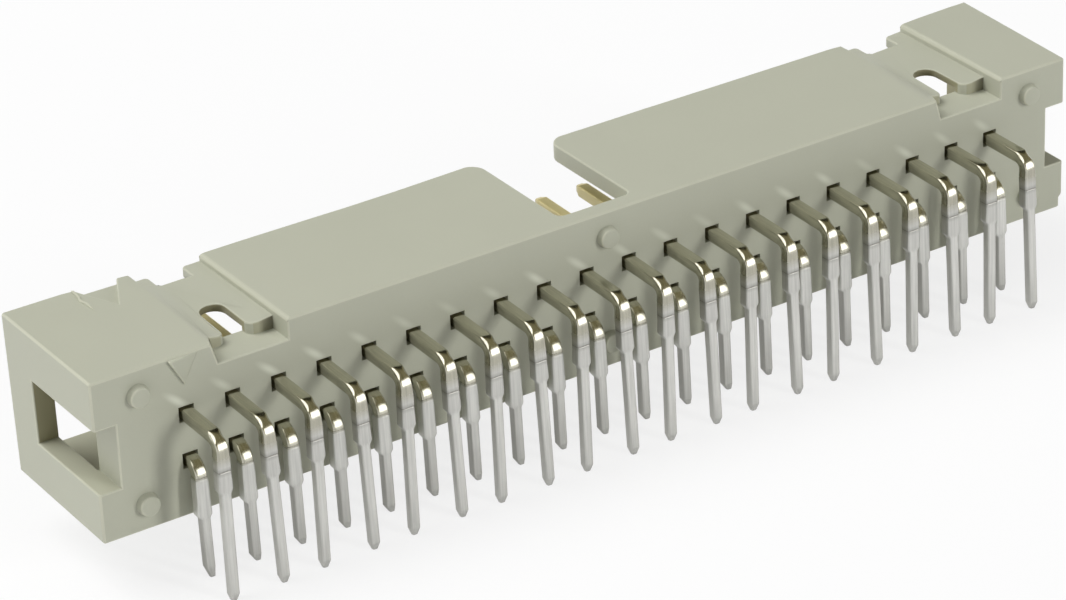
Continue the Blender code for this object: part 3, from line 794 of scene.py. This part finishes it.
def makeContact(node, shape, backFace, column):
    low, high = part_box(node)
    isUpper = "upper" in node
    pairLow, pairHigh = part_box(node.replace("upper", "lower"))
    across = (pairLow.x + pairHigh.x) / 2 / mm
    rowHeight = high.z / mm - shape["wire"] / 2
    tipY = low.y / mm
    tailEnd = low.z / mm
    boardRow = shape["boardRow"] + (shape["pitch"] if isUpper else 0.0)
    row = 0 if isUpper else 1
    crease = rowHeight - shape["creaseDrop"][row]
    cut = shape["firstTipLength"] if row == 1 and column == 0 else shape["tailTipLength"]
    axis = wireAxis(shape, tipY, rowHeight, backFace / mm, boardRow, tailEnd, crease, cut)
    along, y, z, bent = axis
    isLeg = (bent > 0.1).astype(float)
    sections, press, taper = wireSections(shape, y, z, bent, tipY, rowHeight, tailEnd, isLeg, crease, row,
                                          cut)
    legTop = rowHeight - shape["bendOuter"]
    side = (shape["splay"] if column % 2 == 0 else -shape["splay"]) if isUpper else 0.0
    drift = side * np.clip((legTop - z) / (legTop - tailEnd), 0.0, 1.0) - row * taper / 2
    mesh = wireMesh(node + "_formed", shape, across, axis, sections, drift)
    angle = ringAngles(shape)
    tinStart = rowHeight - shape["tinDrop"][row]
    tinPart = isLeg * smoothStep(-z, -tinStart, -(tinStart - shape["tinReach"][row]))
    goldEnd = backFace / mm - shape["goldEnd"]
    goldPart = (1.0 - isLeg) * smoothStep(-y, -goldEnd, -(goldEnd - 0.2))
    # The painted shade: near the hole, in the crease, darker round it, on the leg and tail, towards the tip,
    # and on the tail's +X side
    toSide = smoothStep(np.cos(angle), 0.25, 0.8)
    atHole = (1.0 - isLeg) * (1.0 - smoothStep(y, backFace / mm + 0.1, backFace / mm + 1.0))
    onTop, onSide = shape["holeShade"]
    nearHole = atHole[:, None] * (onTop + (onSide - onTop) * toSide)
    shoulder = rowHeight - shape["shoulderDrop"]
    inTail = smoothStep(-z, -shoulder, -(shoulder - shape["shoulderRun"]))
    onLeg = isLeg * smoothStep(np.degrees(bent), 62.0, 86.0)
    aroundCrease = shape["aroundCrease"][row] * np.exp(-((z - crease) / 0.3) ** 2) * onLeg
    leg = onLeg * (shape["legShade"][row] + (shape["tailShade"][row] - shape["legShade"][row]) * inTail)
    leg = leg + shape["tipShade"][row] * inTail * smoothStep(-z, 0.0, -tailEnd)
    tailSideShade = shape["tailSideShade"][row] * inTail[:, None] * toSide
    shade = np.maximum(np.maximum(press * shape["creaseShade"][row], aroundCrease), leg)[:, None]
    shade = np.maximum(np.maximum(shade, nearHole), tailSideShade)
    addPart(mesh, "tinPart", tinPart[:, None], len(angle))
    addPart(mesh, "goldPart", goldPart[:, None], len(angle))
    addPart(mesh, "wireShadeMask", shade, len(angle))
    mesh.materials.append(plating)
    mesh.shade_smooth()
    piece = bpy.data.objects.new(node + "_formed", mesh)
    bpy.context.scene.collection.objects.link(piece)
    return piece


# A thin raised line beside the sunk arrow, left by the mould: half a round profile along a path
ribShape = {
    "path": ((25.42, 0.05), (25.42, 0.60), (25.45, 0.95), (25.54, 1.18), (25.54, 1.42), (25.45, 1.66),
             (25.45, 2.05), (25.43, 2.55)),   # X, and how far behind the mouth
    "radius": 0.075,
    "lift": 0.085,             # the top face's own lift there
    "sides": 6,
}


# Each ring is (radius cos a, 0, radius sin a) about the path, narrowed to nothing at both ends.
def makeRib(shape, low, high):
    path = np.array(shape["path"])
    along = np.linspace(0.0, 1.0, 22)
    knots = np.linspace(0.0, 1.0, len(path))
    x = np.interp(along, knots, path[:, 0])
    behind = np.interp(along, knots, path[:, 1])
    share = 1.0 - behind / ((-2.0 * low.y) / mm)
    narrow = smoothStep(along, -0.02, 0.06) * (1.0 - smoothStep(along, 0.8, 1.01))
    angle = np.linspace(-0.35, math.pi + 0.35, shape["sides"] + 1)
    radius = shape["radius"] * np.maximum(narrow, 0.02)[:, None]
    ground = high.z / mm + shape["lift"] * share - 0.02
    points = np.stack([x[:, None] + radius * np.cos(angle),
                       np.broadcast_to((low.y / mm + behind)[:, None], radius.shape[:1] + angle.shape),
                       ground[:, None] + radius * np.sin(angle) * 1.3], axis=-1) * mm
    rows, ring = points.shape[:2]
    i, j = np.meshgrid(np.arange(rows - 1), np.arange(ring), indexing="ij")
    nextJ = (j + 1) % ring
    quads = np.stack([i * ring + j, (i + 1) * ring + j, (i + 1) * ring + nextJ, i * ring + nextJ], axis=-1)
    caps = [list(range(ring)), [(rows - 1) * ring + k for k in range(ring - 1, -1, -1)]]
    mesh = bpy.data.meshes.new("mould_line")
    mesh.from_pydata(points.reshape(-1, 3).tolist(), [], quads.reshape(-1, 4).tolist() + caps)
    # the whole line carries the painted highlight of a round
    mesh.attributes.new("edgeHighlight", "FLOAT", "FACE").data.foreach_set("value", np.ones(len(mesh.polygons)))
    mesh.materials.append(plastic)
    mesh.shade_smooth()
    mesh.update()
    piece = bpy.data.objects.new("mould_line", mesh)
    bpy.context.scene.collection.objects.link(piece)
    return piece


shell = makeHousing(housingShape)
rib = makeRib(ribShape, *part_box("housing"))
for piece in (shell, rib):
    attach(piece, "root")
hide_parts("housing")
print("housing ready, faces:", len(shell.data.polygons))

backFace = -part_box("housing")[0].y
contactNodes = sorted(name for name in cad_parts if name.startswith("contact"))
for node in contactNodes:
    piece = makeContact(node, wireShape, backFace, int(node[-2:]) - 1)
    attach(piece, "root")
    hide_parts(node)
print("contacts ready:", len(contactNodes))

# Camera, floor and light
cameraSetup = {
    "place": (0.108314, 0.171926, 0.111899),
    "look": (-0.46327, -0.74763, -0.47585),
    "up": (-0.28780, -0.38092, 0.87867),
    "sensor": 36.0,
    "lens": 152.53,
}


def makeCamera(setup):
    look = Vector(setup["look"]).normalized()
    right = look.cross(Vector(setup["up"])).normalized()
    up = right.cross(look)
    camera = bpy.data.objects.new("camera", bpy.data.cameras.new("camera"))
    camera.data.sensor_width = setup["sensor"]
    camera.data.lens = setup["lens"]
    camera.data.clip_start = 0.01
    camera.data.clip_end = 20.0
    turned = Matrix((right, up, -look)).transposed().to_4x4()
    camera.matrix_world = Matrix.Translation(setup["place"]) @ turned
    bpy.context.scene.collection.objects.link(camera)
    bpy.context.scene.camera = camera


floorSetup = {
    "gap": 0.00001,            # under the lowest tail
    "half": 3.0,
    "color": (0.88, 0.88, 0.88, 1),
    "whiteShare": 0.80,        # how much of the floor the camera sees as plain white
    "mirroredShare": 0.45,     # and how much of it metal does
}


def makeFloor(setup):
    z = cadLow.z - setup["gap"]
    half = setup["half"]
    mesh = bpy.data.meshes.new("floor")
    corners = [(-half, -half, z), (half, -half, z), (half, half, z), (-half, half, z)]
    mesh.from_pydata(corners, [], [(0, 1, 2, 3)])
    material, tree, shader = newMaterial("pale_floor")
    tree.nodes.remove(shader)
    output = tree.nodes["Material Output"]
    paper = addNode(tree, "ShaderNodeBsdfDiffuse", (-400, -100), None, {"Color": setup["color"]})
    white = addNode(tree, "ShaderNodeEmission", (-400, 100), None, {"Color": (1, 1, 1, 1), "Strength": 1.0})
    path = addNode(tree, "ShaderNodeLightPath", (-1000, 300))
    through = addNode(tree, "ShaderNodeMath", (-700, 300), {"operation": "ADD", "use_clamp": True})
    plain = addNode(tree, "ShaderNodeMath", (-500, 300), {"operation": "MULTIPLY"}, {1: setup["whiteShare"]})
    share = addNode(tree, "ShaderNodeMath", (-300, 300), {"operation": "MULTIPLY_ADD"},
                    {1: setup["mirroredShare"]})
    mix = addNode(tree, "ShaderNodeMixShader", (-100, 0))
    joinSockets(tree, [
        (path, "Is Camera Ray", through, 0), (path, "Is Transmission Ray", through, 1),
        (through, "Value", plain, 0), (path, "Is Glossy Ray", share, 0), (plain, "Value", share, 2),
        (share, "Value", mix, "Fac"), (paper, "BSDF", mix, 1), (white, "Emission", mix, 2),
        (mix, "Shader", output, "Surface")])
    mesh.materials.append(material)
    floor = bpy.data.objects.new("floor", mesh)
    bpy.context.scene.collection.objects.link(floor)


# direction is where the lamp stands, seen from the part, and level is what it adds to a face
# turned straight to it. Metal doesn't mirror the lamps, only what the world shows it.
lampSetup = {
    "front_box": {
        "direction": (-0.36, 0.86, 0.34), "distance": 0.6, "wide": 0.08, "tall": 0.26, "level": 0.366},
    "side_box": {
        "direction": (0.95, -0.05, 0.30), "distance": 0.28, "wide": 0.20, "tall": 0.20, "level": 0.147},
    "top_box": {
        "direction": (0.40, -0.35, 0.85), "distance": 0.6, "wide": 0.40, "tall": 0.40, "level": 0.765},
    "ceiling_box": {
        "direction": (0.0, 0.0, 1.0), "distance": 0.6, "wide": 0.40, "tall": 0.40, "level": 0.11},
}


def makeLamps(setup):
    middle = (cadLow + cadHigh) / 2
    for name, lamp in setup.items():
        direction = Vector(lamp["direction"]).normalized()
        data = bpy.data.lights.new(name, "AREA")
        data.shape = "RECTANGLE"
        data.size = lamp["wide"]
        data.size_y = lamp["tall"]
        data.energy = lamp["level"] * (math.pi * lamp["distance"]) ** 2
        box = bpy.data.objects.new(name, data)
        box.location = middle + direction * lamp["distance"]
        box.rotation_mode = "QUATERNION"
        box.rotation_quaternion = direction.to_track_quat("Z", "Y")
        box.visible_glossy = False
        bpy.context.scene.collection.objects.link(box)


worldSetup = {
    "fill": 0.22,              # what the room adds to every face
    "horizon": (1.0, 1.0, 1.0, 1),
    "overhead": (0.24, 0.22, 0.13, 1),
    "overheadFrom": 0.12,      # heights in the sky, as sines
    "overheadFull": 0.42,
    "dark": (-0.463, -0.490, 0.739),       # middle of the dark part behind and above
    "darkInner": 0.955,        # cosines of its middle and of its soft rim
    "darkOuter": 0.90,
    "darkShare": 0.12,
    "card": (-0.463, 0.86, 0.2),           # middle of the bright card in front
    "cardWide": 0.30,          # half its width, and its lower and upper heights, as sines
    "cardLow": -0.14,
    "cardHigh": 0.53,
    "cardRim": 0.03,
    "cardLevel": 2.8,
    "lamp": (0.65, -0.30, 0.68),           # middle of the bright round card above the +X end
    "lampInner": 0.895,        # cosines of its middle part and of its rim
    "lampOuter": 0.87,
    "lampLevel": 2.2,
}


# What metal sees: pale round the horizon, olive overhead, dark behind, and two bright cards.
def makeWorld(setup):
    world = bpy.data.worlds.new("studio")
    bpy.context.scene.world = world
    world.use_nodes = True
    tree = world.node_tree
    tree.nodes.clear()
    card = Vector(setup["card"]).normalized()
    across = card.cross(Vector((0.0, 0.0, 1.0))).normalized()
    rim = setup["cardRim"]
    output = addNode(tree, "ShaderNodeOutputWorld", (900, 0))
    place = addNode(tree, "ShaderNodeTexCoord", (-1500, 0))
    split = addNode(tree, "ShaderNodeSeparateXYZ", (-1300, 0))
    height = addNode(tree, "ShaderNodeMapRange", (-1100, 0), None, {
        "From Min": setup["overheadFrom"], "From Max": setup["overheadFull"]})
    sky = addNode(tree, "ShaderNodeMix", (-850, 0), {"data_type": "RGBA"},
                  {6: setup["horizon"], 7: setup["overhead"]})
    toDark = addNode(tree, "ShaderNodeVectorMath", (-1300, -250), {"operation": "DOT_PRODUCT"},
                     {1: Vector(setup["dark"]).normalized()})
    light = addNode(tree, "ShaderNodeMapRange", (-1100, -250), None, {
        "From Min": setup["darkOuter"], "From Max": setup["darkInner"], "To Min": 1.0,
        "To Max": setup["darkShare"]})
    dimmed = addNode(tree, "ShaderNodeVectorMath", (-600, 0), {"operation": "SCALE"})
    toSide = addNode(tree, "ShaderNodeVectorMath", (-1300, -500), {"operation": "DOT_PRODUCT"}, {1: across})
    toCard = addNode(tree, "ShaderNodeVectorMath", (-1300, -700), {"operation": "DOT_PRODUCT"}, {1: card})
    aside = addNode(tree, "ShaderNodeMath", (-1100, -500), {"operation": "ABSOLUTE"})
    wide = addNode(tree, "ShaderNodeMapRange", (-900, -500), None, {
        "From Min": setup["cardWide"] + rim, "From Max": setup["cardWide"]})
    above = addNode(tree, "ShaderNodeMapRange", (-900, -750), None, {
        "From Min": setup["cardLow"] - rim, "From Max": setup["cardLow"]})
    below = addNode(tree, "ShaderNodeMapRange", (-900, -1000), None, {
        "From Min": setup["cardHigh"] + rim, "From Max": setup["cardHigh"]})
    facing = addNode(tree, "ShaderNodeMath", (-900, -1250), {"operation": "GREATER_THAN"}, {1: 0.0})
    tall = addNode(tree, "ShaderNodeMath", (-650, -800), {"operation": "MULTIPLY"})
    framed = addNode(tree, "ShaderNodeMath", (-450, -700), {"operation": "MULTIPLY"})
    shown = addNode(tree, "ShaderNodeMath", (-250, -700), {"operation": "MULTIPLY"})
    level = addNode(tree, "ShaderNodeMath", (-50, -700), {"operation": "MULTIPLY"}, {1: setup["cardLevel"]})
    toLamp = addNode(tree, "ShaderNodeVectorMath", (-1300, -1400), {"operation": "DOT_PRODUCT"},
                     {1: Vector(setup["lamp"]).normalized()})
    lampShare = addNode(tree, "ShaderNodeMapRange", (-900, -1500), None, {
        "From Min": setup["lampOuter"], "From Max": setup["lampInner"], "To Max": setup["lampLevel"]})
    bright = addNode(tree, "ShaderNodeMath", (50, -900), {"operation": "ADD"})
    mirrored = addNode(tree, "ShaderNodeVectorMath", (150, -100), {"operation": "ADD"})
    path = addNode(tree, "ShaderNodeLightPath", (-600, 500))
    white = addNode(tree, "ShaderNodeMath", (-350, 500), {"operation": "ADD", "use_clamp": True})
    fill = setup["fill"]
    glossy = addNode(tree, "ShaderNodeMix", (350, 0), {"data_type": "RGBA"}, {6: (fill, fill, fill, 1)})
    seen = addNode(tree, "ShaderNodeMix", (530, 100), {"data_type": "RGBA"}, {7: (1, 1, 1, 1)})
    background = addNode(tree, "ShaderNodeBackground", (720, 0), None, {"Strength": 1.0})
    joinSockets(tree, [
        (place, "Generated", split, "Vector"), (place, "Generated", toDark, 0),
        (place, "Generated", toSide, 0), (place, "Generated", toCard, 0), (split, "Z", height, "Value"),
        (split, "Z", above, "Value"), (split, "Z", below, "Value"), (height, "Result", sky, "Factor"),
        (sky, 2, dimmed, 0), (toDark, "Value", light, "Value"), (light, "Result", dimmed, "Scale"),
        (toSide, "Value", aside, 0), (aside, "Value", wide, "Value"), (toCard, "Value", facing, 0),
        (above, "Result", tall, 0), (below, "Result", tall, 1), (wide, "Result", framed, 0),
        (tall, "Value", framed, 1), (framed, "Value", shown, 0), (facing, "Value", shown, 1),
        (shown, "Value", level, 0), (dimmed, "Vector", mirrored, 0), (place, "Generated", toLamp, 0),
        (toLamp, "Value", lampShare, "Value"), (level, "Value", bright, 0),
        (lampShare, "Result", bright, 1), (bright, "Value", mirrored, 1),
        (path, "Is Glossy Ray", glossy, "Factor"), (mirrored, "Vector", glossy, 7),
        (path, "Is Camera Ray", white, 0), (path, "Is Transmission Ray", white, 1),
        (white, "Value", seen, "Factor"), (glossy, 2, seen, 6), (seen, 2, background, "Color"),
        (background, "Background", output, "Surface")])


makeCamera(cameraSetup)
makeFloor(floorSetup)
makeLamps(lampSetup)
makeWorld(worldSetup)
bpy.context.scene.view_settings.view_transform = "Standard"
print("camera, floor and light ready")
